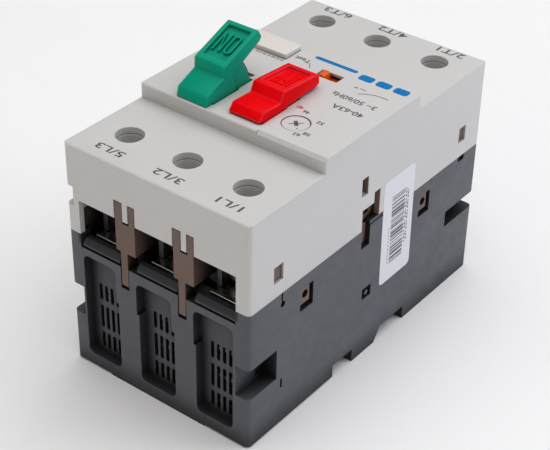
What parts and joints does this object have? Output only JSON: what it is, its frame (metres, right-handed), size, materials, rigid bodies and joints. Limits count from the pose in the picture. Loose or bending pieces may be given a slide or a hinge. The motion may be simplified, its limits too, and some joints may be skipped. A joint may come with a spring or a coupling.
{
  "type": "motor protection breaker",
  "caption": "Rail-mounted motor protection breaker with a green and a red rocker lever, a current dial, clamp terminals at both ends and a two-part grey housing.",
  "frame": {"origin": "centre of the back face, at the bottom of the bounding box", "axes": "+Z out of the front, away from the rail; +Y from the line terminals to the load terminals; +X to the right with +Y up, the dial side"},
  "size_m": [0.07, 0.122, 0.1016],
  "materials": {
    "cover_light": "light grey moulded plastic, fine satin grain",
    "housing_dark": "dark grey moulded plastic, fine satin grain",
    "frame_brown": "brown thermoset moulding",
    "lever_green": "green moulded plastic, soft gloss",
    "lever_red": "red moulded plastic, soft gloss",
    "slider_orange": "orange moulded plastic",
    "marker_white": "white writable plastic",
    "mechanism_black": "black plastic",
    "steel": "zinc-plated steel",
    "copper": "bare copper",
    "copper_plated": "tin-plated copper"
  },
  "bodies": {
    "root": {"base_housing": "housing_dark", "front_cover": "cover_light", "inner_frame": "frame_brown", "mechanism_case": "frame_brown", "mechanism_frame": "steel", "lever_pivot_pin": "steel", "lever_spring": "steel", "marker_plate": "marker_white", "din_latch_spring": "steel", "line_bar_1": "copper_plated", "line_clamp_cage_1": "steel", "load_bar_1": "copper_plated", "load_clamp_cage_1": "steel", "magnetic_coil_1": "copper", "bimetal_1": "steel", "line_arc_chute_1": "steel", "inner_arc_chute_1": "steel", "line_bar_2": "copper_plated", "line_clamp_cage_2": "steel", "load_bar_2": "copper_plated", "load_clamp_cage_2": "steel", "magnetic_coil_2": "copper", "bimetal_2": "steel", "line_arc_chute_2": "steel", "inner_arc_chute_2": "steel", "line_bar_3": "copper_plated", "line_clamp_cage_3": "steel", "load_bar_3": "copper_plated", "load_clamp_cage_3": "steel", "magnetic_coil_3": "copper", "bimetal_3": "steel", "line_arc_chute_3": "steel", "inner_arc_chute_3": "steel"},
    "on_lever": {"on_lever": "lever_green"},
    "off_lever": {"off_lever": "lever_red"},
    "drive_rocker": {"drive_rocker": "mechanism_black"},
    "contact_carriage": {"contact_carriage": "mechanism_black", "contact_bridge_1": "copper", "contact_bridge_2": "copper", "contact_bridge_3": "copper", "contact_spring_1": "steel", "contact_spring_2": "steel", "contact_spring_3": "steel"},
    "trip_bar": {"trip_bar": "mechanism_black"},
    "test_slider": {"test_slider": "slider_orange"},
    "current_dial": {"current_dial": "cover_light"},
    "din_latch": {"din_latch": "mechanism_black"},
    "line_pressure_pad_1": {"line_pressure_pad_1": "steel"},
    "line_screw_1": {"line_screw_1": "steel"},
    "line_pressure_pad_2": {"line_pressure_pad_2": "steel"},
    "line_screw_2": {"line_screw_2": "steel"},
    "line_pressure_pad_3": {"line_pressure_pad_3": "steel"},
    "line_screw_3": {"line_screw_3": "steel"},
    "load_pressure_pad_1": {"load_pressure_pad_1": "steel"},
    "load_screw_1": {"load_screw_1": "steel"},
    "load_pressure_pad_2": {"load_pressure_pad_2": "steel"},
    "load_screw_2": {"load_screw_2": "steel"},
    "load_pressure_pad_3": {"load_pressure_pad_3": "steel"},
    "load_screw_3": {"load_screw_3": "steel"}
  },
  "joints": [
    {"name": "on_lever_hinge", "type": "hinge", "parent": "root", "child": "on_lever", "pos_m": [-0.01515, -0.0242, 0.081], "axis": [1, 0, 0], "range_deg": [-25, 0], "deforming": ["lever_spring"]},
    {"name": "off_lever_hinge", "type": "hinge", "parent": "root", "child": "off_lever", "pos_m": [0.0031, -0.0242, 0.081], "axis": [1, 0, 0], "range_deg": [0, 25]},
    {"name": "rocker_hinge", "type": "hinge", "parent": "root", "child": "drive_rocker", "pos_m": [-0.006, -0.0125, 0.066], "axis": [1, 0, 0], "range_deg": [0, 25]},
    {"name": "contact_slide", "type": "slide", "parent": "root", "child": "contact_carriage", "axis": [0, 0, 1], "range_m": [-0.0035, 0]},
    {"name": "test_slide", "type": "slide", "parent": "root", "child": "test_slider", "axis": [1, 0, 0], "range_m": [0, 0.004], "stiffness_N_per_m": 150, "springref_m": -0.001},
    {"name": "trip_bar_hinge", "type": "hinge", "parent": "root", "child": "trip_bar", "pos_m": [0, 0.03, 0.054], "axis": [1, 0, 0], "range_deg": [-10, 0]},
    {"name": "dial_hinge", "type": "hinge", "parent": "root", "child": "current_dial", "pos_m": [0.0162, -0.0162, 0.083], "axis": [0, 0, 1], "range_deg": [0, 166]},
    {"name": "latch_slide", "type": "slide", "parent": "root", "child": "din_latch", "axis": [0, 1, 0], "range_m": [0, 0.0045], "stiffness_N_per_m": 600, "springref_m": -0.002, "deforming": ["din_latch_spring"]},
    {"name": "line_pad_slide_1", "type": "slide", "parent": "root", "child": "line_pressure_pad_1", "axis": [0, 0, 1], "range_m": [0, 0.007]},
    {"name": "line_screw_turn_1", "type": "hinge", "parent": "line_pressure_pad_1", "child": "line_screw_1", "pos_m": [0.0223, -0.0458, 0.06], "axis": [0, 0, 1], "range_deg": [0, 2520]},
    {"name": "line_pad_slide_2", "type": "slide", "parent": "root", "child": "line_pressure_pad_2", "axis": [0, 0, 1], "range_m": [0, 0.007]},
    {"name": "line_screw_turn_2", "type": "hinge", "parent": "line_pressure_pad_2", "child": "line_screw_2", "pos_m": [0, -0.0458, 0.06], "axis": [0, 0, 1], "range_deg": [0, 2520]},
    {"name": "line_pad_slide_3", "type": "slide", "parent": "root", "child": "line_pressure_pad_3", "axis": [0, 0, 1], "range_m": [0, 0.007]},
    {"name": "line_screw_turn_3", "type": "hinge", "parent": "line_pressure_pad_3", "child": "line_screw_3", "pos_m": [-0.0223, -0.0458, 0.06], "axis": [0, 0, 1], "range_deg": [0, 2520]},
    {"name": "load_pad_slide_1", "type": "slide", "parent": "root", "child": "load_pressure_pad_1", "axis": [0, 0, 1], "range_m": [0, 0.007]},
    {"name": "load_screw_turn_1", "type": "hinge", "parent": "load_pressure_pad_1", "child": "load_screw_1", "pos_m": [0.0223, 0.0494, 0.06], "axis": [0, 0, 1], "range_deg": [0, 2520]},
    {"name": "load_pad_slide_2", "type": "slide", "parent": "root", "child": "load_pressure_pad_2", "axis": [0, 0, 1], "range_m": [0, 0.007]},
    {"name": "load_screw_turn_2", "type": "hinge", "parent": "load_pressure_pad_2", "child": "load_screw_2", "pos_m": [0, 0.0494, 0.06], "axis": [0, 0, 1], "range_deg": [0, 2520]},
    {"name": "load_pad_slide_3", "type": "slide", "parent": "root", "child": "load_pressure_pad_3", "axis": [0, 0, 1], "range_m": [0, 0.007]},
    {"name": "load_screw_turn_3", "type": "hinge", "parent": "load_pressure_pad_3", "child": "load_screw_3", "pos_m": [-0.0223, 0.0494, 0.06], "axis": [0, 0, 1], "range_deg": [0, 2520]}
  ],
  "couplings": [
    {"joint": "off_lever_hinge", "follows": "on_lever_hinge", "ratio": -1},
    {"joint": "rocker_hinge", "follows": "on_lever_hinge", "ratio": -1},
    {"joint": "contact_slide", "follows": "on_lever_hinge", "m_per_rad": 0.0080214},
    {"joint": "trip_bar_hinge", "follows": "test_slide", "rad_per_m": -43.633},
    {"joint": "line_screw_turn_1", "follows": "line_pad_slide_1", "rad_per_m": 6283.2},
    {"joint": "line_screw_turn_2", "follows": "line_pad_slide_2", "rad_per_m": 6283.2},
    {"joint": "line_screw_turn_3", "follows": "line_pad_slide_3", "rad_per_m": 6283.2},
    {"joint": "load_screw_turn_1", "follows": "load_pad_slide_1", "rad_per_m": 6283.2},
    {"joint": "load_screw_turn_2", "follows": "load_pad_slide_2", "rad_per_m": 6283.2},
    {"joint": "load_screw_turn_3", "follows": "load_pad_slide_3", "rad_per_m": 6283.2}
  ]
}
